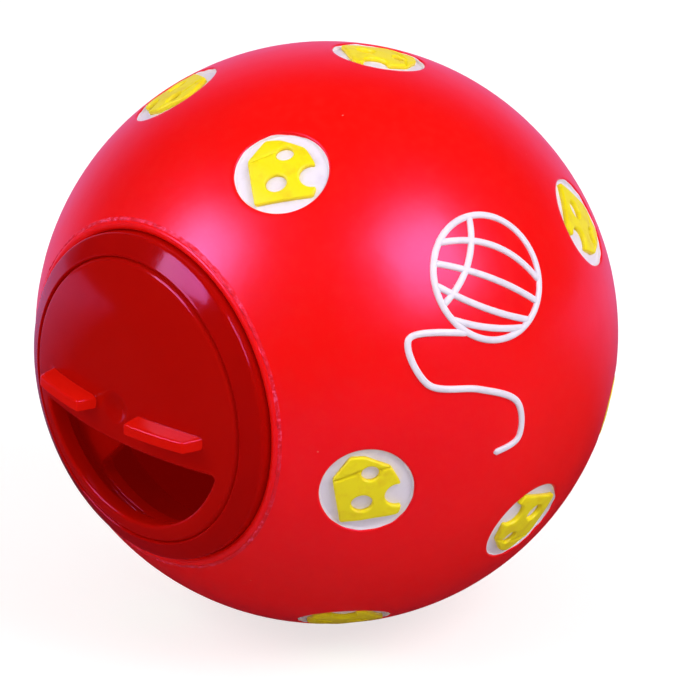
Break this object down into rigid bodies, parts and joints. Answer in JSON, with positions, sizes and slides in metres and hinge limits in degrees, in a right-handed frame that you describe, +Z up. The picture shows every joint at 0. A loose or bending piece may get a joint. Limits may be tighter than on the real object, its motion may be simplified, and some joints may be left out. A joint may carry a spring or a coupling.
{
  "type": "cat treat ball",
  "caption": "Hollow soft ball with sunk round badges and a rigid insert in its mouth, whose ribbed dial turns to open or close a half-moon window for dry treats.",
  "frame": {"origin": "the point where the ball touches the floor", "axes": "+Z up, -Y out of the mouth along the dial's axis, +X to the right as seen from in front of the mouth"},
  "size_m": [0.0706, 0.0716, 0.07],
  "materials": {
    "ball_vinyl": "satin soft vinyl with painted relief",
    "insert_plastic": "glossy moulded plastic",
    "dial_plastic": "glossy moulded plastic",
    "white_paint": "satin paint on the badges' grounds and the raised lines",
    "yellow_paint": "satin paint on the badges' wedges"
  },
  "bodies": {
    "ball": {"ball_shell": "ball_vinyl", "insert_ring": "insert_plastic"},
    "dial": {"turning_dial": "dial_plastic"}
  },
  "joints": [
    {"name": "dial_turn", "type": "hinge", "parent": "ball", "child": "dial", "pos_m": [0, -0.03, 0.035], "axis": [0, -1, 0], "continuous": true}
  ]
}
